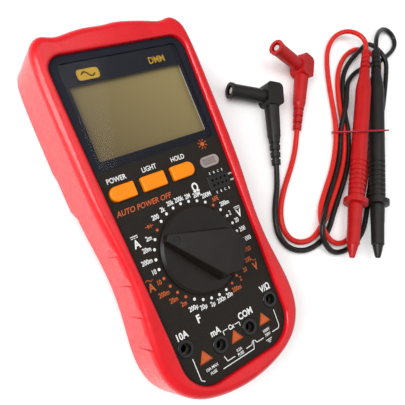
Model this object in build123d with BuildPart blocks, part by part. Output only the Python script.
"""Hand-held digital multimeter in a rubber holster, lying on a table beside its pair of test leads.

The meter is modelled lying flat: x to the right, y towards the display end, z out of the face, with the
origin on the range knob's axis at the face. BENCH then lays every piece in its place on the table.
"""

import os
from math import atan2, cos, degrees, pi, radians, sin, tan

from build123d import *

os.makedirs("parts", exist_ok=True)

# ---------------------------------------------------------------- driving dimensions, mm
# Holster, a rubber boot: its right-hand outline, seen from the front
HOLSTER_HALF = [
    (0, 121.8), (14, 121.4), (24, 119.9), (30.5, 119.3), (36.2, 120.2), (41.6, 116.6), (44.2, 107),
    (44.6, 90), (44.3, 60), (43.2, 30), (41.0, 4), (41.9, -18), (43.7, -36), (41.4, -51), (33, -61.8),
    (18, -68.4), (0, -70.6),
]
LIP_TOP = 2.5                       # crest of the front lip above the face
CREST_ROUND = 4.4                   # rounding of the crest
LIP_ROUND = 1.3                     # rounding of the lip's inner edge
BACK_ROUND = 2.2                    # rounding of the back edges
BACK_LOW, BACK_MID, BACK_TOP = -27.0, -32.0, -34.4
STEP_LOW, STEP_TOP = 43.5, 66.0     # where the back steps out, along y
HOLSTER_WALL = 2.5
LIP_SIDE = [(38.5, 109.4), (36.9, 50), (34.8, 0), (33.9, -25), (33.0, -61.4)]
LIP_CORNER_TOP, LIP_CORNER_BOTTOM = 8.0, 16.0
BACK_WINDOW = (71.0, 162.0, 31.0)   # width, height, centre of the opening in the boot's back
# Finger grips down each flank: top y, half width of the boot at the top and at the bottom of the grip
GRIPS = [(19.9, 42.4, 41.7), (5.0, 41.1, 41.0), (-10.3, 41.4, 41.9), (-25.4, 42.6, 43.6)]
GRIP_DROP, GRIP_DEPTH = 7.2, 0.9

# Case, two moulded shells inside the holster
CASE_HALF = [
    (0, 117.6), (18, 117.2), (31, 114.2), (38.6, 107), (41.0, 92), (40.9, 60), (39.8, 30),
    (37.5, 4), (38.5, -18), (40.2, -36), (37.6, -49), (29.5, -58.6), (15, -64.8), (0, -66.6),
]
SEAT_GAP = 0.15                     # the boot stands this far off the case
CASE_WALL = 2.0
LABEL = 0.4                         # printed face label
CASE_TOP = -LABEL
PARTING = -14.0
BOARD_TOP, BOARD = -11.2, 1.6
BOARD_BACK = BOARD_TOP - BOARD

# Display
LENS = (67.0, 53.6, 78.6)           # width, height, centre y
LENS_THICK, LENS_TOP = 1.1, 0.1
MASK_THICK = 0.3                    # dark frame printed behind the lens
WINDOW = (62.6, 37.8, 75.3)
LCD = (65.0, 45.0, 75.6)
LCD_TOP, LCD_THICK = -3.6, 2.2

# Range knob, its contact carrier and its detent
KNOB_R, KNOB_FOOT, KNOB_DISC = 22.3, 0.35, 3.0
KNOB_TOP = 11.6
KNOB_TURN = 56.25                   # the pointer's direction, anticlockwise from +y
HUB_R, HUB_FIT = 7.0, 0.06
CARRIER_R, CARRIER_TOP, CARRIER_THICK = 17.0, -6.7, 3.2
STATIONS = 32
KNOB_SLOPE = radians(7.0)           # the grip's top falls towards the pointer
DIMPLE_R, DIMPLE_Y = 1.9, 17.2
TRACK_RADII, TRACK_THICK = (6.5, 9.5, 12.5), 0.05
DETENT_R, BALL_R, BALL_Z = 18.0, 1.25, -8.3
BALL_PLAY, NOTCH_DEPTH = 0.05, 0.5  # the balls run in a plain track, and each station is a notch in its wall
SPRING_R, SPRING_WIRE_R, SPRING_LENGTH = 0.95, 0.14, 3.6
KNOB_SCREW_HEAD = 1.2

# Push buttons: centre x, rounding of the left and the right end
BUTTONS = {"power": (-27.0, 3.5, 0.9), "light": (-9.8, 0.9, 0.9), "hold": (7.5, 0.9, 3.5)}
BUTTON_Y, BUTTON_SIZE, BUTTON_TOP = 39.6, (13.3, 7.4), 2.1
BUTTON_TRAVEL = 1.6
PLUNGER_R, SWITCH_HEIGHT = 1.5, 5.2

# Input jacks, for standard 4 mm banana plugs on 19.05 mm centres
JACKS = {"10a": (-27.4, -39.4), "ma": (-9.525, -46.4), "com": (9.525, -46.4), "volt": (27.4, -39.4)}
JACK_BORE_R, JACK_OUTER_R, JACK_TOP, JACK_LENGTH = 2.0, 3.0, -3.5, 16.0
SLEEVE_END, SLEEVE_FLANGE = 1.2, 1.1
COLLAR_R, COLLAR_HOLE_R, COLLAR_TOP = 4.4, 2.7, 0.5

SOCKET = (26.5, 28.3, 13.4, 8.6)    # transistor socket: centre x and y, width, height
SOCKET_PITCH = 2.7
SENSOR = (25.7, 39.9, 12.2, 5.8)    # ambient light window
CASE_SCREWS = [(-29.0, 110.2), (29.0, 110.2), (-29.5, -50.5), (29.5, -50.5)]
BOARD_SCREWS = [(-31.5, 6.0), (31.5, 6.0), (0.0, -58.0)]
POST_R, SCREW_CORE_R = 3.2, 1.3
SEAT_R, SEAT_Z = 3.0, -18.0         # seats of the case screws' heads

FUSE_R, FUSE_LENGTH, FUSE_X, FUSE_Y = 2.6, 20.0, 0.0, -40.0

# Battery, 9 V block lying across the case
BATTERY = (46.4, 26.5, 17.5)
BATTERY_Y, BATTERY_TOP = 88.2, -13.5
TERMINAL = 2.1
DOOR = (54.0, 38.0, 91.6)           # width, height, centre y
DOOR_THICK = 1.9
DOOR_SCREW_Y, DOOR_SCREW_HEAD = 106.6, 1.2

# Kickstand
HINGE_Y, HINGE_Z, HINGE_R, HINGE_PIN_R = 28.7, -24.7, 2.3, 1.0
STAND_WIDTH, STAND_LENGTH = 64.6, 61.2
STAND_THICK, STAND_FOOT_R = 4.0, 2.0
LUG = 2.2
RECESS_FLOOR = -22.2

# The boot's heel and the step behind the display are worn flat where they stand on the table
PAD_CUT = 0.5

# Test leads: a shrouded right-angle plug, a cable and a probe each, in the table's own coordinates.
# Plugs are placed by the end of the relief, probes by the end of the tip cap, with the turn of their axis
CABLE_R = 1.8
FLOOR_GAP = 0.05
PLUG_LENGTH, STEM_R, STEM_END_R, RELIEF = 46.0, 5.2, 4.3, 17.0
SHROUD_R, SHROUD_BORE_R, SHROUD_LENGTH, RIM = 4.7, 3.1, 32.0, 0.5
ELBOW = (12.4, 15.2, 11.6)          # width, length, thickness of the elbow's block
PIN_R, PIN_END = 1.95, 1.0
# end of the relief, turn of the stem, lean of the stem down to the cable, roll of the shroud
PLUGS = {"red": ((121.0, 17.0, 3.2), -32.0, 5.8, 20.0), "black": ((91.5, 0.1, 3.2), -22.0, 3.8, 0.0)}
PROBE_LENGTH, CAP_LENGTH, NEEDLE_R = 164.0, 24.0, 1.0
HANDLE_R, GUARD_R, GUARD_Y, PROBE_END_R = 5.6, 8.2, 37.0, 2.9
PROBES = {"red": ((112.7, -74.8, 8.8), -37.8), "black": ((134.3, -83.9, 8.8), -33.4)}
PROBE_TIP = 0.87                    # the probe lies on the strands and rises this much to its relief
HANK_TOP = 3.75
HANK_OUTLINE = [
    (102, -66), (99.5, -54), (108, -37), (130, -20), (154, 4), (174, 37), (181, 49), (193, 58),
    (207, 63.5), (222, 66), (234, 62), (241.5, 50), (235, 30), (219, 15.5), (197.5, -3.5), (180, -22),
    (163, -40), (148, -55), (137, -66), (122, -71.5), (110, -71),
]
CABLES = {
    "red": [
        (121, 17, 3.2), (114.5, 6.6, 2.2), (105.5, -3, 1.9), (95.5, -11.5, 1.9), (86, -20, 1.9),
        (78.7, -29.5, 1.9), (75.6, -39.5, 1.9), (78.3, -47.5, 1.9), (85.5, -52, 1.9), (95, -53, 1.9),
        (104, -49.5, 1.9),
    ],
    "black": [
        (91.5, 0.1, 3.2), (86.8, -11.4, 2.1), (79.5, -20.8, 1.9), (73.5, -30.5, 1.9), (70.4, -41, 1.9),
        (73.3, -50.5, 1.9), (81.5, -56.3, 1.9), (91.5, -58.2, 1.9), (103.0, -56.5, 1.9),
    ],
}
LOOPS = {
    "red": [
        (213.2, 54.8, 11.3), (217.6, 60.4, 11.3), (217.9, 67.6, 10.3), (213, 73.7, 8.2), (204.5, 76.2, 6.0),
        (194.5, 74, 3.8), (185.5, 67.2, 2.2), (178.5, 57, 1.9), (172.6, 45, 1.9), (167.3, 32, 1.9),
        (162.7, 19, 1.9),
    ],
    "black": [
        (224.6, 53.0, 11.3), (228.6, 59, 11.3), (235.4, 64.5, 9.8), (244.4, 68.7, 7.0), (254, 71.5, 4.5),
        (262.8, 70.8, 2.6), (267.9, 64.8, 1.9), (266, 57.3, 1.9), (258.6, 52.4, 1.9), (249, 49.5, 1.9),
        (238.5, 46.7, 1.9),
    ],
}
TIE_R, TIE_CENTRE, TIE_TURN, TIE_LEAN = 0.6, (176.0, 2.0), -13.9, 20.0
TIE_RING = [
    (-24.0, 0.7), (-23.2, 4.6), (-12.5, 16.2), (-6.0, 18.2), (13.0, 18.2), (19.0, 15.8), (23.4, 5.5),
    (23.7, 0.7),
]

UP = (Align.CENTER, Align.CENTER, Align.MIN)
DOWN = (Align.CENTER, Align.CENTER, Align.MAX)

# ---------------------------------------------------------------- the meter's place on the table
heel_y = HOLSTER_HALF[-1][1] + BACK_ROUND
tilt = atan2(BACK_LOW - BACK_TOP, STEP_TOP - heel_y)
lift = -heel_y * sin(tilt) - BACK_LOW * cos(tilt) - PAD_CUT
TILT = degrees(tilt)


def symmetric_face(half, height, grow=0.0):
    """Smooth closed face through a right-hand half outline and its mirror image, grown all round."""
    points = [Vector(*point) for point in half + [(-x, y) for x, y in reversed(half[1:-1])]]
    outline = Edge.make_spline(points, periodic=True)
    grown = [point + outline.tangent_at(point).rotate(Axis.Z, 90) * grow for point in points]
    with BuildSketch(Plane.XY.offset(height)) as flat:
        with BuildLine():
            Spline(*grown, periodic=True)
        make_face()
    return flat.sketch


def lip_face(height, grow=0.0):
    """The opening inside the boot's front lip, which is also the outline of the printed face."""
    top, bottom = LIP_SIDE[0][1] + grow, LIP_SIDE[-1][1] - grow
    middle = [(x + grow, y) for x, y in LIP_SIDE[1:-1]]
    with BuildSketch(Plane.XY.offset(height)) as flat:
        with BuildLine():
            side = Spline((LIP_SIDE[0][0] + grow, top), *middle, (LIP_SIDE[-1][0] + grow, bottom))
            Line(side @ 0, (0, top))
            Line(side @ 1, (0, bottom))
            mirror(about=Plane.YZ)
        make_face()
        corners = flat.vertices().group_by(Axis.Y)
        fillet(corners[-1].filter_by(lambda v: abs(v.X) > 1), LIP_CORNER_TOP)
        corners = flat.vertices().group_by(Axis.Y)
        fillet(corners[0].filter_by(lambda v: abs(v.X) > 1), LIP_CORNER_BOTTOM)
    return flat.sketch


def back_profile(front, inset):
    """Side view of the meter's thickness, thin at the lower end and stepped out behind the battery."""
    low, mid, top = BACK_LOW + inset, BACK_MID + inset, BACK_TOP + inset
    with BuildSketch(Plane.YZ) as side:
        with BuildLine():
            Polyline(
                (-90, front), (-90, low), (STEP_LOW - 5 + inset, low), (STEP_LOW + inset, mid),
                (STEP_TOP - 4 + inset, mid), (STEP_TOP + inset, top), (140, top), (140, front), close=True,
            )
        make_face()
    return side.sketch


def case_form(grow, inset, front):
    """Solid of the case's form: outline grown all round, back moved in, cut off level at the front."""
    with BuildPart() as form:
        extrude(symmetric_face(CASE_HALF, BACK_TOP, grow), amount=front - BACK_TOP)
        extrude(back_profile(front, inset), amount=60, both=True, mode=Mode.INTERSECT)
    return form.part


def pocket_face(width, height, radius, centre, z):
    """Rounded rectangle at a height."""
    with BuildSketch(Plane.XY.offset(z)) as flat:
        with Locations(centre):
            RectangleRounded(width, height, radius)
    return flat.sketch


def cap_face(width, height, left, right, centre, z):
    """Key cap outline whose left and right corners are rounded differently."""
    with BuildSketch(Plane.XY.offset(z)) as flat:
        with Locations(centre):
            Rectangle(width, height)
        ends = flat.vertices().group_by(Axis.X)
        fillet(ends[0], left)
        ends = flat.vertices().group_by(Axis.X)
        fillet(ends[-1], right)
    return flat.sketch


def grip_face(side, top_y, top_x, bottom_x):
    """Three-cornered ramp that sinks below the flank towards its lower front corner."""
    def at(y, z, depth):
        share = (top_y - y) / GRIP_DROP
        return Vector(side * (top_x + share * (bottom_x - top_x) - depth), y, z)

    return Face(Wire.make_polygon([
        at(top_y, 1, 0.1), at(top_y - GRIP_DROP, 1, GRIP_DEPTH), at(top_y - 0.8 * GRIP_DROP, -18, -0.1),
    ]))


# ---------------------------------------------------------------- holster
with BuildPart() as holster:
    extrude(symmetric_face(HOLSTER_HALF, BACK_TOP), amount=LIP_TOP - BACK_TOP)
    fillet(holster.faces().sort_by(Axis.Z)[-1].edges(), CREST_ROUND)
    extrude(back_profile(LIP_TOP, 0), amount=60, both=True, mode=Mode.INTERSECT)
    backs = holster.faces().filter_by(Axis.Z).filter_by(lambda face: face.center().Z < BACK_LOW + 1)
    fillet(backs.edges().filter_by(GeomType.LINE, reverse=True), BACK_ROUND)
    add(case_form(SEAT_GAP, HOLSTER_WALL, CASE_TOP), mode=Mode.SUBTRACT)
    extrude(lip_face(CASE_TOP), amount=LIP_TOP - CASE_TOP, mode=Mode.SUBTRACT)
    fillet(holster.faces().sort_by(Axis.Z)[-1].inner_wires().edges(), LIP_ROUND)
    window = pocket_face(BACK_WINDOW[0], BACK_WINDOW[1], 9, (0, BACK_WINDOW[2]), BACK_TOP)
    extrude(window, amount=12, mode=Mode.SUBTRACT)
    for side in (-1, 1):
        for grip in GRIPS:
            extrude(grip_face(side, *grip), amount=4, dir=(side, 0, 0), mode=Mode.SUBTRACT)
    # pads worn level with the table
    table = Plane(origin=(0, 0, -lift / cos(tilt)), x_dir=(1, 0, 0), z_dir=(0, sin(tilt), cos(tilt)))
    split(bisect_by=table, keep=Keep.TOP)

bounds = holster.part.moved(Location((0, 0, 0), (TILT, 0, 0))).bounding_box()
BENCH = Location((0, -bounds.center().Y, lift), (TILT, 0, 0))
holster.part.label = "holster"
export_step(holster.part.moved(BENCH), "parts/holster.step")


# ---------------------------------------------------------------- front case and what is fixed in it
with BuildPart() as front_case:
    extrude(symmetric_face(CASE_HALF, PARTING), amount=CASE_TOP - PARTING)
    fillet(front_case.faces().sort_by(Axis.Z)[-1].edges(), 0.6)
    inner = symmetric_face(CASE_HALF, PARTING, -CASE_WALL)
    extrude(inner, amount=CASE_TOP - CASE_WALL - PARTING, mode=Mode.SUBTRACT)
    # posts for the case screws and the board screws
    for x, y in CASE_SCREWS:
        with Locations((x, y, PARTING)):
            Cylinder(POST_R, CASE_TOP - 1 - PARTING, align=UP)
            Cylinder(SCREW_CORE_R, 10, align=UP, mode=Mode.SUBTRACT)
    for x, y in BOARD_SCREWS:
        with Locations((x, y, BOARD_TOP)):
            Cylinder(2.6, CASE_TOP - 1 - BOARD_TOP, align=UP)
            Cylinder(SCREW_CORE_R, 7, align=UP, mode=Mode.SUBTRACT)
    # lens seat and display window
    seat = pocket_face(LENS[0] + 0.2, LENS[1] + 0.2, 2.6, (0, LENS[2]), LENS_TOP - LENS_THICK - MASK_THICK)
    extrude(seat, amount=4, mode=Mode.SUBTRACT)
    extrude(pocket_face(WINDOW[0] + 2, WINDOW[1] + 2, 1, (0, WINDOW[2]), -6), amount=8, mode=Mode.SUBTRACT)
    # key holes, knob bearing, jack holes, transistor socket and light window
    for x, left, right in BUTTONS.values():
        hole = cap_face(BUTTON_SIZE[0] + 0.5, BUTTON_SIZE[1] + 0.5, left, right, (x, BUTTON_Y), -4)
        extrude(hole, amount=5, mode=Mode.SUBTRACT)
    with Locations((0, 0, CASE_TOP)):
        Cylinder(HUB_R + HUB_FIT, 20, mode=Mode.SUBTRACT)
    for x, y in JACKS.values():
        with Locations((x, y, CASE_TOP)):
            Cylinder(COLLAR_R + 0.05, 10, mode=Mode.SUBTRACT)
    x, y, width, height = SOCKET
    extrude(pocket_face(width + 0.1, height + 0.1, 1, (x, y), -4), amount=5, mode=Mode.SUBTRACT)
    x, y, width, height = SENSOR
    extrude(pocket_face(width + 0.1, height + 0.1, height / 2, (x, y), -4), amount=5, mode=Mode.SUBTRACT)
front_case.part.label = "front_case"
export_step(front_case.part.moved(BENCH), "parts/front_case.step")

with BuildPart() as face_label:
    extrude(lip_face(CASE_TOP, -0.1), amount=LABEL)
    extrude(pocket_face(LENS[0] + 0.2, LENS[1] + 0.2, 2.6, (0, LENS[2]), -4), amount=5, mode=Mode.SUBTRACT)
    for x, left, right in BUTTONS.values():
        hole = cap_face(BUTTON_SIZE[0] + 0.5, BUTTON_SIZE[1] + 0.5, left, right, (x, BUTTON_Y), -4)
        extrude(hole, amount=5, mode=Mode.SUBTRACT)
    with Locations((0, 0, 0)):
        Cylinder(HUB_R + 0.3, 20, mode=Mode.SUBTRACT)
    for x, y in JACKS.values():
        with Locations((x, y, 0)):
            Cylinder(COLLAR_R + 0.1, 10, mode=Mode.SUBTRACT)
    x, y, width, height = SOCKET
    extrude(pocket_face(width + 0.2, height + 0.2, 1, (x, y), -4), amount=5, mode=Mode.SUBTRACT)
    x, y, width, height = SENSOR
    extrude(pocket_face(width + 0.2, height + 0.2, height / 2, (x, y), -4), amount=5, mode=Mode.SUBTRACT)
face_label.part.label = "face_label"
export_step(face_label.part.moved(BENCH), "parts/face_label.step")

x, y, width, height = SENSOR
with BuildPart() as light_sensor:
    extrude(pocket_face(width, height, height / 2 - 0.01, (x, y), CASE_TOP - CASE_WALL - 1), amount=3.1)
    fillet(light_sensor.faces().sort_by(Axis.Z)[-1].edges(), 0.2)
light_sensor.part.label = "light_sensor"
export_step(light_sensor.part.moved(BENCH), "parts/light_sensor.step")

x, y, width, height = SOCKET
with BuildPart() as transistor_socket:
    extrude(pocket_face(width, height, 0.9, (x, y), -6.5), amount=6.6)
    chamfer(transistor_socket.faces().sort_by(Axis.Z)[-1].edges(), 0.3)
    with Locations((x, y, 0.1)):
        with GridLocations(SOCKET_PITCH, SOCKET_PITCH, 4, 2):
            Cylinder(0.65, 4.5, align=DOWN, mode=Mode.SUBTRACT)
transistor_socket.part.label = "transistor_socket"
export_step(transistor_socket.part.moved(BENCH), "parts/transistor_socket.step")

# black collars round the four input jacks
with BuildPart() as jack_collars:
    for x, y in JACKS.values():
        with Locations((x, y, JACK_TOP - 1)):
            Cylinder(COLLAR_R, COLLAR_TOP - JACK_TOP + 1, align=UP)
    rims = jack_collars.faces().sort_by(Axis.Z)[-4:].edges()
    fillet(rims, 0.45)
    for x, y in JACKS.values():
        with Locations((x, y, COLLAR_TOP)):
            Cylinder(COLLAR_HOLE_R, 12, mode=Mode.SUBTRACT)
        with Locations((x, y, JACK_TOP)):
            Cylinder(JACK_OUTER_R + 0.02, 2, align=DOWN, mode=Mode.SUBTRACT)
jack_collars.part.label = "jack_collars"
export_step(jack_collars.part.moved(BENCH), "parts/jack_collars.step")


# blind brass sleeves for 4 mm banana plugs, flanged where they are soldered to the board
with BuildPart() as jack_sleeves:
    for x, y in JACKS.values():
        with Locations((x, y, JACK_TOP)):
            Cylinder(JACK_OUTER_R, JACK_LENGTH + SLEEVE_END, align=DOWN)
        with Locations((x, y, BOARD_BACK)):
            Cylinder(JACK_OUTER_R + SLEEVE_FLANGE, 1.0, align=DOWN)
        with Locations((x, y, JACK_TOP)):
            Cylinder(JACK_BORE_R, JACK_LENGTH, align=DOWN, mode=Mode.SUBTRACT)
jack_sleeves.part.label = "jack_sleeves"
export_step(jack_sleeves.part.moved(BENCH), "parts/jack_sleeves.step")


# ---------------------------------------------------------------- display
lens_bottom = LENS_TOP - LENS_THICK
with BuildPart() as display_lens:
    extrude(pocket_face(LENS[0], LENS[1], 2.5, (0, LENS[2]), lens_bottom), amount=LENS_THICK)
    fillet(display_lens.faces().sort_by(Axis.Z)[-1].edges(), 0.3)
display_lens.part.label = "display_lens"
export_step(display_lens.part.moved(BENCH), "parts/display_lens.step")

with BuildPart() as lens_mask:
    extrude(pocket_face(LENS[0], LENS[1], 2.5, (0, LENS[2]), lens_bottom), amount=-MASK_THICK)
    window = pocket_face(WINDOW[0], WINDOW[1], 0.8, (0, WINDOW[2]), lens_bottom)
    extrude(window, amount=-MASK_THICK, mode=Mode.SUBTRACT)
lens_mask.part.label = "lens_mask"
export_step(lens_mask.part.moved(BENCH), "parts/lens_mask.step")

lcd_bottom = LCD_TOP - LCD_THICK
with BuildPart() as lcd_glass:
    extrude(pocket_face(LCD[0], LCD[1], 0.5, (0, LCD[2]), LCD_TOP), amount=-LCD_THICK)
lcd_glass.part.label = "lcd_glass"
export_step(lcd_glass.part.moved(BENCH), "parts/lcd_glass.step")

# holder: walls round the glass, an inner ledge below it, and open in the middle
with BuildPart() as lcd_frame:
    outside = pocket_face(LCD[0] + 3.2, LCD[1] + 3.2, 1.5, (0, LCD[2]), BOARD_TOP)
    extrude(outside, amount=CASE_TOP - CASE_WALL - 0.1 - BOARD_TOP)
    seat = pocket_face(LCD[0] + 0.2, LCD[1] + 0.2, 0.6, (0, LCD[2]), lcd_bottom)
    extrude(seat, amount=6, mode=Mode.SUBTRACT)
    opening = pocket_face(LCD[0] - 4, LCD[1] - 1, 0.6, (0, LCD[2]), BOARD_TOP - 1)
    extrude(opening, amount=8, mode=Mode.SUBTRACT)
lcd_frame.part.label = "lcd_frame"
export_step(lcd_frame.part.moved(BENCH), "parts/lcd_frame.step")

strip_y = LCD[1] / 2 - 2.5
with BuildPart() as zebra_strips:
    with Locations((0, LCD[2] - strip_y, BOARD_TOP), (0, LCD[2] + strip_y, BOARD_TOP)):
        Box(56, 2.4, lcd_bottom - BOARD_TOP, align=UP)
zebra_strips.part.label = "zebra_strips"
export_step(zebra_strips.part.moved(BENCH), "parts/zebra_strips.step")

with BuildPart() as backlight_panel:
    extrude(pocket_face(LCD[0] - 5, 2 * strip_y - 3.2, 1, (0, LCD[2]), lcd_bottom - 0.3), amount=-3)
backlight_panel.part.label = "backlight_panel"
export_step(backlight_panel.part.moved(BENCH), "parts/backlight_panel.step")


# ---------------------------------------------------------------- main board and what is soldered to it
with BuildPart() as main_board:
    extrude(symmetric_face(CASE_HALF, BOARD_BACK, -CASE_WALL - 0.8), amount=BOARD)
    for x, y in CASE_SCREWS:
        with Locations((x, y, BOARD_BACK)):
            Cylinder(POST_R + 0.3, BOARD, align=UP, mode=Mode.SUBTRACT)
    for x, y in BOARD_SCREWS:
        with Locations((x, y, BOARD_BACK)):
            Cylinder(1.7, BOARD, align=UP, mode=Mode.SUBTRACT)
    for x, y in JACKS.values():
        with Locations((x, y, BOARD_BACK)):
            Cylinder(JACK_OUTER_R, BOARD, align=UP, mode=Mode.SUBTRACT)
main_board.part.label = "main_board"
export_step(main_board.part.moved(BENCH), "parts/main_board.step")

# concentric copper tracks of the range switch
with BuildPart() as switch_tracks:
    for radius in TRACK_RADII:
        with BuildSketch(Plane.XY.offset(BOARD_TOP)):
            Circle(radius + 0.7)
            Circle(radius - 0.7, mode=Mode.SUBTRACT)
        extrude(amount=TRACK_THICK)
switch_tracks.part.label = "switch_tracks"
export_step(switch_tracks.part.moved(BENCH), "parts/switch_tracks.step")

with BuildPart() as board_screws:
    for x, y in BOARD_SCREWS:
        with Locations((x, y, BOARD_BACK)):
            Cylinder(2.6, 1.4, align=DOWN)
            Cylinder(SCREW_CORE_R, 6, align=UP)
    fillet(board_screws.faces().sort_by(Axis.Z)[:3].edges(), 0.4)
board_screws.part.label = "board_screws"
export_step(board_screws.part.moved(BENCH), "parts/board_screws.step")

with BuildPart() as converter_chip:
    extrude(pocket_face(15.0, 15.0, 0.6, (0, 30), BOARD_BACK), amount=-2.3)
    for turn in range(4):
        with Locations(Location((0, 30, BOARD_BACK), (0, 0, 90 * turn))):
            with GridLocations(1.2, 1, 10, 1):
                with Locations((0, 8.4, 0)):
                    Box(0.5, 1.8, 0.5, align=DOWN)
converter_chip.part.label = "converter_chip"
export_step(converter_chip.part.moved(BENCH), "parts/converter_chip.step")

with BuildPart() as resistors:
    for column in range(5):
        for row in range(2):
            centre = (-24 + 5.0 * column, -8 - 14 * row, BOARD_BACK - 1.6)
            with Locations(Location(centre, (90, 0, 0))):
                Cylinder(1.2, 6.5)
                Cylinder(0.3, 10)
resistors.part.label = "resistors"
export_step(resistors.part.moved(BENCH), "parts/resistors.step")

with BuildPart() as capacitors:
    with Locations((16, 12, BOARD_BACK), (24, 12, BOARD_BACK), (-26, 44, BOARD_BACK)):
        Cylinder(2.9, 6.5, align=DOWN)
    fillet(capacitors.faces().sort_by(Axis.Z)[:3].edges(), 0.5)
capacitors.part.label = "capacitors"
export_step(capacitors.part.moved(BENCH), "parts/capacitors.step")

with BuildPart() as trimmers:
    with Locations((-14, 12, BOARD_BACK), (-24, 14, BOARD_BACK)):
        Box(6.5, 7, 3.6, align=DOWN)
    with Locations((-14, 12, BOARD_BACK - 3.6), (-24, 14, BOARD_BACK - 3.6)):
        Cylinder(2.2, 0.8, align=DOWN)
        Box(3.2, 0.7, 0.5, align=(Align.CENTER, Align.CENTER, Align.MAX), mode=Mode.SUBTRACT)
trimmers.part.label = "trimmers"
export_step(trimmers.part.moved(BENCH), "parts/trimmers.step")

# glass fuse in its two clips, between the mA jack and the board
fuse_z = BOARD_BACK - FUSE_R - 1.6
with BuildPart() as fuse:
    with Locations(Location((FUSE_X, FUSE_Y, fuse_z), (90, 0, 0))):
        Cylinder(FUSE_R - 0.15, FUSE_LENGTH)
        with Locations((0, 0, FUSE_LENGTH / 2 - 2.5), (0, 0, 2.5 - FUSE_LENGTH / 2)):
            Cylinder(FUSE_R, 5)
fuse.part.label = "fuse"
export_step(fuse.part.moved(BENCH), "parts/fuse.step")

with BuildPart() as fuse_clips:
    for end in (-1, 1):
        with BuildSketch(Plane.XZ.offset(-FUSE_Y - end * (FUSE_LENGTH / 2 - 2.5))):
            with Locations((FUSE_X, fuse_z)):
                Circle(FUSE_R + 0.5)
                Circle(FUSE_R + 0.02, mode=Mode.SUBTRACT)
            with Locations((FUSE_X, fuse_z - 5)):
                Rectangle(2.6 * FUSE_R, 8, mode=Mode.SUBTRACT)
            with Locations((FUSE_X, BOARD_BACK - 0.65)):
                Rectangle(3.0, 1.3)
        extrude(amount=1.6, both=True)
fuse_clips.part.label = "fuse_clips"
export_step(fuse_clips.part.moved(BENCH), "parts/fuse_clips.step")

# thick wire loop that carries the 10 A range
x, y = JACKS["10a"]
with BuildPart() as shunt_wire:
    with BuildLine():
        FilletPolyline(
            (x, y + 7.5, BOARD_BACK), (x, y + 7.5, BOARD_BACK - 5), (x + 13, y + 7.5, BOARD_BACK - 5),
            (x + 13, y + 7.5, BOARD_BACK), radius=2.4,
        )
    with BuildSketch(Plane.XY.offset(BOARD_BACK)):
        with Locations((x, y + 7.5)):
            Circle(0.8)
    sweep()
shunt_wire.part.label = "shunt_wire"
export_step(shunt_wire.part.moved(BENCH), "parts/shunt_wire.step")

with BuildPart() as buzzer:
    with Locations((14, -12, BOARD_BACK)):
        Cylinder(7.5, 5.6, align=DOWN)
        Cylinder(1.2, 5.6, align=DOWN, mode=Mode.SUBTRACT)
    fillet(buzzer.faces().sort_by(Axis.Z)[0].outer_wire().edges(), 0.6)
buzzer.part.label = "buzzer"
export_step(buzzer.part.moved(BENCH), "parts/buzzer.step")


# ---------------------------------------------------------------- range knob
def knob_plan(length_front, length_back, tip, wide, z):
    """Plan of the finger grip, narrow at the pointer and wide behind, pointer towards +y."""
    with BuildSketch(Plane.XY.offset(z)) as plan:
        with BuildLine():
            Polyline(
                (-tip, length_front), (tip, length_front), (wide, -0.55 * length_back),
                (0.62 * wide, -length_back), (-0.62 * wide, -length_back), (-wide, -0.55 * length_back),
                close=True,
            )
        make_face()
        fillet(plan.vertices().group_by(Axis.Y)[0], 3)
        fillet(plan.vertices().group_by(Axis.Y)[-1], 0.7)
    return plan.sketch


with BuildPart() as range_knob:
    with Locations((0, 0, KNOB_FOOT)):
        Cylinder(KNOB_R, KNOB_DISC - KNOB_FOOT, align=UP)
    chamfer(range_knob.faces().sort_by(Axis.Z)[-1].edges(), 1.3)
    foot_plan = knob_plan(KNOB_R - 0.6, 20.6, 2.0, 13.6, KNOB_DISC)
    top_plan = knob_plan(KNOB_R - 0.8, 19.2, 1.3, 11.6, KNOB_TOP)
    loft([foot_plan, top_plan])
    # the top slopes down to the pointer
    slope = Plane(origin=(0, -12, KNOB_TOP), x_dir=(1, 0, 0), z_dir=(0, sin(KNOB_SLOPE), cos(KNOB_SLOPE)))
    split(bisect_by=slope, keep=Keep.BOTTOM)
    fillet(range_knob.faces().filter_by(slope).edges(), 0.5)
    with Locations(slope.location * Location((0, DIMPLE_Y + 12, 0))):
        Cylinder(DIMPLE_R, 1.0, mode=Mode.SUBTRACT)
    # hub through the face, with a core hole for its screw
    with Locations((0, 0, CARRIER_TOP)):
        Cylinder(HUB_R, KNOB_FOOT - CARRIER_TOP, align=UP)
        Cylinder(SCREW_CORE_R, 5, align=UP, mode=Mode.SUBTRACT)
knob_place = BENCH * Location((0, 0, 0), (0, 0, KNOB_TURN))
range_knob.part.label = "range_knob"
export_step(range_knob.part.moved(knob_place), "parts/range_knob.step")

carrier_bottom = CARRIER_TOP - CARRIER_THICK
with BuildPart() as contact_carrier:
    with Locations((0, 0, CARRIER_TOP)):
        Cylinder(CARRIER_R, CARRIER_THICK, align=DOWN)
        Cylinder(SCREW_CORE_R + 0.1, CARRIER_THICK, align=DOWN, mode=Mode.SUBTRACT)
    with Locations((0, 0, carrier_bottom)):
        Cylinder(3.2, KNOB_SCREW_HEAD, align=UP, mode=Mode.SUBTRACT)
    for side in (-1, 1):
        with Locations(Location((side * (CARRIER_R + 0.1), 0, BALL_Z), (0, -90 * side, 0))):
            Cylinder(BALL_R + 0.05, SPRING_LENGTH + 1.4, align=UP, mode=Mode.SUBTRACT)
contact_carrier.part.label = "contact_carrier"
export_step(contact_carrier.part.moved(knob_place), "parts/contact_carrier.step")

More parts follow.
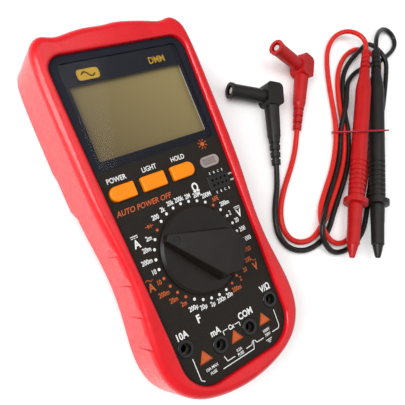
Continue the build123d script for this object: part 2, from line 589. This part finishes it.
with BuildPart() as knob_screw:
    with Locations((0, 0, carrier_bottom)):
        Cylinder(2.8, KNOB_SCREW_HEAD, align=UP)
        Cylinder(SCREW_CORE_R, CARRIER_THICK + 4.0, align=UP)
        with PolarLocations(0, 2, angular_range=180):
            Box(3.0, 0.6, 0.7, align=UP, mode=Mode.SUBTRACT)
knob_screw.part.label = "knob_screw"
export_step(knob_screw.part.moved(knob_place), "parts/knob_screw.step")

# sprung bridges that join neighbouring tracks
with BuildPart() as wiper_contacts:
    for turn, radius in ((0, 8.0), (120, 8.0), (240, 8.0), (60, 11.0), (180, 11.0), (300, 11.0)):
        with BuildSketch(Plane(Location((0, 0, 0), (0, 0, turn)) * Location((0, -0.9, 0), (90, 0, 0)))):
            with BuildLine():
                high, low = carrier_bottom, BOARD_TOP + TRACK_THICK + 0.05
                half = [(0.9, high - 0.4), (0.9, low), (2.2, low), (2.2, high)]
                left_half = [(radius - x, z) for x, z in reversed(half)]
                Polyline(*left_half, *[(radius + x, z) for x, z in half], close=True)
            make_face()
        extrude(amount=1.8)
wiper_contacts.part.label = "wiper_contacts"
export_step(wiper_contacts.part.moved(knob_place), "parts/wiper_contacts.step")

# two steel balls pushed outwards into the notched ring
with BuildPart() as detent_balls:
    with Locations((DETENT_R, 0, BALL_Z), (-DETENT_R, 0, BALL_Z)):
        Sphere(BALL_R)
detent_balls.part.label = "detent_balls"
export_step(detent_balls.part.moved(knob_place), "parts/detent_balls.step")

with BuildPart() as detent_springs:
    for side in (-1, 1):
        start = side * (DETENT_R - BALL_R - 0.1 - SPRING_WIRE_R)
        with BuildLine():
            coil = Helix(0.75, SPRING_LENGTH, SPRING_R, center=(start, 0, BALL_Z), direction=(-side, 0, 0))
        with BuildSketch(Plane(origin=coil @ 0, z_dir=coil % 0)):
            Circle(SPRING_WIRE_R)
        sweep(path=coil, is_frenet=True)
detent_springs.part.label = "detent_springs"
export_step(detent_springs.part.moved(knob_place), "parts/detent_springs.step")

# ring with one notch for each range, under the face; its notches line up with the knob's balls
with BuildPart() as detent_ring:
    with BuildSketch(Plane.XZ):
        with BuildLine():
            Polyline(
                (19.6, CASE_TOP - CASE_WALL), (20.8, CASE_TOP - CASE_WALL), (20.8, BALL_Z - 1.7),
                (CARRIER_R + 0.25, BALL_Z - 1.7), (CARRIER_R + 0.25, BALL_Z + 1.7), (19.6, BALL_Z + 1.7),
                close=True,
            )
        make_face()
    revolve(axis=Axis.Z)
    with Locations((0, 0, BALL_Z)):
        Cylinder(DETENT_R + BALL_R + BALL_PLAY, 2 * (BALL_R + BALL_PLAY), mode=Mode.SUBTRACT)
    with PolarLocations(DETENT_R + NOTCH_DEPTH, STATIONS):
        with Locations((0, 0, BALL_Z)):
            Cylinder(BALL_R + BALL_PLAY, 2 * (BALL_R + BALL_PLAY), mode=Mode.SUBTRACT)
detent_ring.part.label = "detent_ring"
export_step(detent_ring.part.moved(knob_place), "parts/detent_ring.step")


# ---------------------------------------------------------------- push buttons and their switches
cap_bottom = CASE_TOP - CASE_WALL - 0.15
switch_top = BOARD_TOP + SWITCH_HEIGHT
for name, (x, left, right) in BUTTONS.items():
    with BuildPart() as button:
        face = cap_face(*BUTTON_SIZE, left, right, (x, BUTTON_Y), cap_bottom)
        extrude(face, amount=BUTTON_TOP - cap_bottom)
        fillet(button.faces().sort_by(Axis.Z)[-1].edges(), 0.8)
        width, height = BUTTON_SIZE
        extrude(pocket_face(width + 1.6, height + 1.6, 1, (x, BUTTON_Y), cap_bottom), amount=-0.8)
        with Locations((x, BUTTON_Y, cap_bottom)):
            Cylinder(PLUNGER_R, cap_bottom - switch_top + 1.6, align=DOWN)
    button.part.label = f"{name}_button"
    export_step(button.part.moved(BENCH), f"parts/{name}_button.step")

# one tact switch on the board under each button
with BuildPart() as key_switches:
    for x, left, right in BUTTONS.values():
        with Locations((x, BUTTON_Y, BOARD_TOP)):
            Box(8.2, 7.4, SWITCH_HEIGHT, align=UP)
    chamfer(key_switches.edges().filter_by(Axis.Z), 0.5)
    for x, left, right in BUTTONS.values():
        with Locations((x, BUTTON_Y, switch_top)):
            Cylinder(PLUNGER_R + HUB_FIT, 3.4, align=DOWN, mode=Mode.SUBTRACT)
key_switches.part.label = "key_switches"
export_step(key_switches.part.moved(BENCH), "parts/key_switches.step")


# ---------------------------------------------------------------- rear case and battery
rear_inset = HOLSTER_WALL + SEAT_GAP
low_back, top_back = BACK_LOW + rear_inset, BACK_TOP + rear_inset
recess_length = STAND_LENGTH + HINGE_R + 2.0
recess_y = HINGE_Y + HINGE_R + 1.0 - recess_length / 2
with BuildPart() as rear_case:
    add(case_form(0, rear_inset, PARTING))
    add(case_form(-CASE_WALL, rear_inset + CASE_WALL, PARTING), mode=Mode.SUBTRACT)
    # tray that the folded kickstand lies in, with a lug for its pin at each side
    tray = pocket_face(STAND_WIDTH + 5.4, recess_length + 4, 4, (0, recess_y), low_back)
    extrude(tray, amount=RECESS_FLOOR + CASE_WALL - low_back)
    tray = pocket_face(STAND_WIDTH + 1.2, recess_length, 2, (0, recess_y), low_back)
    extrude(tray, amount=RECESS_FLOOR - low_back, mode=Mode.SUBTRACT)
    for side in (-1, 1):
        with Locations((side * (STAND_WIDTH / 2 + 0.6 + LUG / 2), HINGE_Y, low_back)):
            Box(LUG, 2 * HINGE_R + 0.4, low_back - HINGE_Z + HINGE_R, align=DOWN)
    with Locations(Location((0, HINGE_Y, HINGE_Z), (0, 90, 0))):
        Cylinder(HINGE_PIN_R, STAND_WIDTH + 1.2 + 2 * LUG, mode=Mode.SUBTRACT)
    # battery bay and the post for the door's screw
    bay = pocket_face(BATTERY[0] + 5, BATTERY[1] + 1.2, 2, (0, BATTERY_Y), BACK_TOP)
    extrude(bay, amount=8, mode=Mode.SUBTRACT)
    with Locations((0, DOOR_SCREW_Y, top_back)):
        Cylinder(POST_R, 10, align=UP)
        Cylinder(SCREW_CORE_R, 9, align=UP, mode=Mode.SUBTRACT)
    # posts for the case screws, with deep seats for their heads
    for x, y in CASE_SCREWS:
        back = top_back if y > STEP_TOP else low_back
        with Locations((x, y, back)):
            Cylinder(SEAT_R + 1.2, PARTING - back, align=UP)
            Cylinder(SCREW_CORE_R + 0.2, PARTING - back, align=UP, mode=Mode.SUBTRACT)
            Cylinder(SEAT_R, SEAT_Z - back, align=UP, mode=Mode.SUBTRACT)
rear_case.part.label = "rear_case"
export_step(rear_case.part.moved(BENCH), "parts/rear_case.step")


def pan_screw(x, y, z, head_r, head, length):
    """Cross-headed screw pointing towards the face, its head's seat at z."""
    with BuildPart() as screw:
        with Locations((x, y, z)):
            Cylinder(SCREW_CORE_R, length, align=UP)
            Cylinder(head_r, head, align=DOWN)
        fillet(screw.faces().sort_by(Axis.Z)[0].edges(), 0.35 * head)
        with Locations((x, y, z - head)):
            Box(head_r, 0.6, 0.6 * head, align=UP, mode=Mode.SUBTRACT)
            Box(0.6, head_r, 0.6 * head, align=UP, mode=Mode.SUBTRACT)
    return screw.part


with BuildPart() as case_screws:
    for x, y in CASE_SCREWS:
        add(pan_screw(x, y, SEAT_Z, SEAT_R - 0.2, 2.0, 13.0))
case_screws.part.label = "case_screws"
export_step(case_screws.part.moved(BENCH), "parts/case_screws.step")

door_inner, door_outer = top_back, top_back - DOOR_THICK
with BuildPart() as battery_door:
    extrude(pocket_face(DOOR[0], DOOR[1], 3, (0, DOOR[2]), door_outer), amount=DOOR_THICK)
    chamfer(battery_door.faces().sort_by(Axis.Z)[0].edges(), 0.6)
    with Locations((0, DOOR[2] - DOOR[1] / 2 + 7, door_outer)):
        with GridLocations(1, 2.2, 1, 4):
            Box(20, 1.0, 0.6, align=UP, mode=Mode.SUBTRACT)
    with Locations((0, DOOR_SCREW_Y, door_outer)):
        Cylinder(SCREW_CORE_R + 0.2, DOOR_THICK, align=UP, mode=Mode.SUBTRACT)
        Cylinder(2.9, DOOR_SCREW_HEAD, align=UP, mode=Mode.SUBTRACT)
battery_door.part.label = "battery_door"
export_step(battery_door.part.moved(BENCH), "parts/battery_door.step")

with BuildPart() as door_screw:
    add(pan_screw(0, DOOR_SCREW_Y, door_outer + DOOR_SCREW_HEAD, 2.7, DOOR_SCREW_HEAD - 0.1, 8.5))
door_screw.part.label = "door_screw"
export_step(door_screw.part.moved(BENCH), "parts/door_screw.step")

battery_x = -TERMINAL / 2
battery_middle = BATTERY_TOP - BATTERY[2] / 2
with BuildPart() as battery:
    with Locations((battery_x, BATTERY_Y, battery_middle)):
        Box(*BATTERY)
    fillet(battery.edges().filter_by(Axis.X), 1.6)
    contact_end = battery_x + BATTERY[0] / 2
    for side in (-1, 1):
        with Locations(Location((contact_end, BATTERY_Y + side * 6.35, battery_middle), (0, 90, 0))):
            Cylinder(2.9 if side > 0 else 3.9, TERMINAL, align=UP)
battery.part.label = "battery"
export_step(battery.part.moved(BENCH), "parts/battery.step")

with BuildPart() as battery_snap:
    with Locations((contact_end + 0.1, BATTERY_Y, battery_middle)):
        Box(TERMINAL + 1.2, 25.5, 11.5, align=(Align.MIN, Align.CENTER, Align.CENTER))
    fillet(battery_snap.edges().filter_by(Axis.X), 4)
    for side in (-1, 1):
        with Locations(Location((contact_end + 0.1, BATTERY_Y + side * 6.35, battery_middle), (0, 90, 0))):
            Cylinder(3.05 if side > 0 else 4.05, TERMINAL, align=UP, mode=Mode.SUBTRACT)
battery_snap.part.label = "battery_snap"
export_step(battery_snap.part.moved(BENCH), "parts/battery_snap.step")

with BuildPart() as battery_wires:
    for side in (-1, 1):
        start = (contact_end + TERMINAL + 1.3, BATTERY_Y + side * 3, battery_middle)
        corner = (contact_end + TERMINAL + 5, BATTERY_Y + side * 3, battery_middle)
        end = (contact_end + TERMINAL + 5, BATTERY_Y + side * 3, BOARD_BACK)
        with BuildLine():
            FilletPolyline(start, corner, end, radius=3)
        with BuildSketch(Plane(origin=start, z_dir=(1, 0, 0))):
            Circle(0.6)
        sweep()
battery_wires.part.label = "battery_wires"
export_step(battery_wires.part.moved(BENCH), "parts/battery_wires.step")

with BuildPart() as battery_pad:
    pad = pocket_face(34, 20, 2, (battery_x, BATTERY_Y), BOARD_BACK - 0.05)
    extrude(pad, amount=BATTERY_TOP - BOARD_BACK + 0.1)
battery_pad.part.label = "battery_pad"
export_step(battery_pad.part.moved(BENCH), "parts/battery_pad.step")


# ---------------------------------------------------------------- kickstand, folded, modelled about its hinge
foot_reach = STAND_LENGTH - STAND_FOOT_R
with BuildPart() as kickstand:
    with BuildSketch(Plane.YZ):
        with BuildLine():
            Polyline(
                (0, STAND_THICK / 2), (0, -STAND_THICK / 2), (-foot_reach, -STAND_FOOT_R),
                (-foot_reach, STAND_FOOT_R), close=True,
            )
        make_face()
        with Locations((-foot_reach, 0)):
            Circle(STAND_FOOT_R)
    extrude(amount=STAND_WIDTH / 2, both=True)
    with Locations(Location((0, 0, 0), (0, 90, 0))):
        Cylinder(HINGE_R, STAND_WIDTH)
        Cylinder(HINGE_PIN_R + HUB_FIT, STAND_WIDTH, mode=Mode.SUBTRACT)
    # panels sunk into both faces, and a dimple in each side near the foot
    for side in (-1, 1):
        with BuildSketch(Plane.XY.offset(side * STAND_THICK / 2)):
            with Locations((0, -foot_reach / 2 - 1)):
                RectangleRounded(STAND_WIDTH - 14, foot_reach - 16, 4)
        extrude(amount=-side * 0.9, mode=Mode.SUBTRACT)
        with Locations(Location((side * STAND_WIDTH / 2, 6 - foot_reach, 0), (0, 90, 0))):
            Cylinder(0.8, 1.6, mode=Mode.SUBTRACT)
stand_place = BENCH * Location((0, HINGE_Y, HINGE_Z))
kickstand.part.label = "kickstand"
export_step(kickstand.part.moved(stand_place), "parts/kickstand.step")

with BuildPart() as stand_pin:
    with Locations(Location((0, HINGE_Y, HINGE_Z), (0, 90, 0))):
        Cylinder(HINGE_PIN_R, STAND_WIDTH + 1.2 + 2 * LUG)
stand_pin.part.label = "stand_pin"
export_step(stand_pin.part.moved(BENCH), "parts/stand_pin.step")


# ---------------------------------------------------------------- test leads
def plug_moulding():
    """Right-angle plug from the end of its relief: stem along +y, shroud from the elbow towards -x."""
    with BuildPart() as plug:
        with BuildSketch(Plane.XY):
            with BuildLine():
                stem_y = RELIEF + 2
                Polyline(
                    (0, 0), (PROBE_END_R, 0), (STEM_END_R - 0.6, RELIEF), (STEM_END_R, stem_y),
                    (STEM_R, PLUG_LENGTH), (0, PLUG_LENGTH), close=True,
                )
            make_face()
            for groove in range(3):
                with Locations((STEM_END_R - 0.4 * groove, RELIEF - 3.2 - 4.8 * groove)):
                    Rectangle(2.6, 1.7, mode=Mode.SUBTRACT)
        revolve(axis=Axis.Y)
        with Locations((0, PLUG_LENGTH + 1.2, 0)):
            Box(*ELBOW)
        fillet(plug.edges().filter_by(GeomType.LINE).filter_by(Axis.Z), 3.2)
        with Locations(Location((-ELBOW[0] / 2 + 1, PLUG_LENGTH, 0), (0, -90, 0))):
            Cylinder(SHROUD_R, SHROUD_LENGTH - ELBOW[0] / 2 + 1, align=UP)
        with Locations(Location((-SHROUD_LENGTH + 1.8, PLUG_LENGTH, 0), (0, -90, 0))):
            Cylinder(SHROUD_R + RIM, 1.8, align=UP)
        with Locations(Location((-ELBOW[0] / 2 - 1, PLUG_LENGTH, 0), (0, -90, 0))):
            Cylinder(SHROUD_BORE_R, SHROUD_LENGTH, align=UP, mode=Mode.SUBTRACT)
    return plug.part


def probe_handle():
    """Probe body from the end of its tip cap, along +y: nose, finger guard, ringed grip, handle, relief."""
    with BuildPart() as handle:
        with BuildSketch(Plane.XY):
            with BuildLine():
                Polyline(
                    (0, CAP_LENGTH), (4.6, CAP_LENGTH), (5.0, GUARD_Y), (GUARD_R, GUARD_Y + 0.6),
                    (GUARD_R, GUARD_Y + 4), (HANDLE_R, GUARD_Y + 4.8), (HANDLE_R, PROBE_LENGTH - 34),
                    (3.9, PROBE_LENGTH - 22), (PROBE_END_R, PROBE_LENGTH), (0, PROBE_LENGTH), close=True,
                )
            make_face()
            with Locations((HANDLE_R, GUARD_Y + 19)):
                with GridLocations(0, 3.6, 1, 8):
                    Rectangle(1.0, 1.4, mode=Mode.SUBTRACT)
            with Locations((PROBE_END_R + 0.9, PROBE_LENGTH - 10)):
                with GridLocations(0, 4.2, 1, 4):
                    Rectangle(2.0, 1.6, mode=Mode.SUBTRACT)
        revolve(axis=Axis.Y)
    return handle.part


def tip_cap():
    """Hollow cap over the needle."""
    with BuildPart() as cap:
        with BuildSketch(Plane.XY):
            with BuildLine():
                Polyline(
                    (0, 0), (1.3, 0), (1.9, 0.8), (3.6, 8.5), (4.3, 9.3), (4.5, CAP_LENGTH),
                    (0, CAP_LENGTH), close=True,
                )
            make_face()
            with Locations((0, CAP_LENGTH)):
                Rectangle(2 * NEEDLE_R + 0.4, 2 * CAP_LENGTH - 8, mode=Mode.SUBTRACT)
        revolve(axis=Axis.Y)
    return cap.part


def cable_tube(name, route):
    """Round tube along straight runs joined by arcs as large as the runs allow; prints the radii."""
    corners = [Vector(*point) for point in route]
    runs = [b - a for a, b in zip(corners, corners[1:])]
    radii = [
        0.45 * min(a.length, b.length) / tan(radians(a.get_angle(b)) / 2) for a, b in zip(runs, runs[1:])
    ]
    print(name, "radii", [round(radius, 1) for radius in radii])
    with BuildPart() as tube:
        with BuildLine():
            path = FilletPolyline(*corners, radius=radii)
        with BuildSketch(Plane(origin=corners[0], z_dir=runs[0])):
            Circle(CABLE_R)
        sweep(path=path)
    expected = pi * CABLE_R**2 * path.length
    print(name, "volume", round(tube.part.volume), "section times length", round(expected))
    return tube.part


plug_places, probe_places = {}, {}
for colour, (end, turn, lean, roll) in PLUGS.items():
    place = Location(end, (0, 0, turn)) * Location((0, 0, 0), (lean, 0, 0))
    place = place * Location((0, 0, 0), (0, roll, 0))
    with BuildPart() as plug:
        add(plug_moulding())
    plug.part.label = f"{colour}_plug"
    export_step(plug.part.moved(place), f"parts/{colour}_plug.step")
    plug_places[colour] = place

# 4 mm pins inside the two shrouds
with BuildPart() as plug_pins:
    for place in plug_places.values():
        with Locations(place * Location((-ELBOW[0] / 2 - 1, PLUG_LENGTH, 0), (0, -90, 0))):
            Cylinder(PIN_R, SHROUD_LENGTH - ELBOW[0] / 2 - 1 - PIN_END, align=UP)
plug_pins.part.label = "plug_pins"
export_step(plug_pins.part, "parts/plug_pins.step")

for colour, (end, turn) in PROBES.items():
    place = Location(end, (0, 0, turn)) * Location((0, 0, 0), (PROBE_TIP, 0, 0))
    with BuildPart() as handle:
        add(probe_handle())
    handle.part.label = f"{colour}_probe"
    export_step(handle.part.moved(place), f"parts/{colour}_probe.step")
    with BuildPart() as cap:
        add(tip_cap())
    cap.part.label = f"{colour}_tip_cap"
    export_step(cap.part.moved(place), f"parts/{colour}_tip_cap.step")
    probe_places[colour] = place

# needles under the caps
with BuildPart() as probe_needles:
    for place in probe_places.values():
        with Locations(place * Location((0, CAP_LENGTH, 0), (90, 0, 0))):
            Cylinder(NEEDLE_R, CAP_LENGTH - 5, align=UP)
probe_needles.part.label = "probe_needles"
export_step(probe_needles.part, "parts/probe_needles.step")

for colour in PLUGS:
    for name, route in ((f"{colour}_cable", CABLES[colour]), (f"{colour}_loop", LOOPS[colour])):
        with BuildPart() as cable:
            add(cable_tube(name, route))
        cable.part.label = name
        export_step(cable.part, f"parts/{name}.step")

# the bundle of folded strands under the probes, hollowed where the finger guards and the tie pass
tie_plane = Plane(Location((*TIE_CENTRE, 0), (0, 0, TIE_TURN)) * Location((0, 0, 0), (90 + TIE_LEAN, 0, 0)))
with BuildPart() as cable_hank:
    with BuildSketch(Plane.XY.offset(FLOOR_GAP)):
        with BuildLine():
            Spline(*HANK_OUTLINE, periodic=True)
        make_face()
    extrude(amount=HANK_TOP - FLOOR_GAP)
    for place in probe_places.values():
        with Locations(place * Location((0, GUARD_Y + 2.3, 0), (90, 0, 0))):
            Cylinder(GUARD_R + 0.4, 5.6, mode=Mode.SUBTRACT)
    with BuildSketch(tie_plane):
        Rectangle(120, 2 * (FLOOR_GAP + 2 * TIE_R + 0.3))
    extrude(amount=1.2, both=True, mode=Mode.SUBTRACT)
cable_hank.part.label = "cable_hank"
export_step(cable_hank.part, "parts/cable_hank.step")

with BuildPart() as cable_tie:
    with BuildLine(tie_plane):
        ring = FilletPolyline(*TIE_RING, radius=3 * TIE_R, close=True)
    with BuildSketch(Plane(origin=ring @ 0, z_dir=ring % 0)):
        Circle(TIE_R)
    sweep(path=ring)
cable_tie.part.label = "cable_tie"
export_step(cable_tie.part, "parts/cable_tie.step")
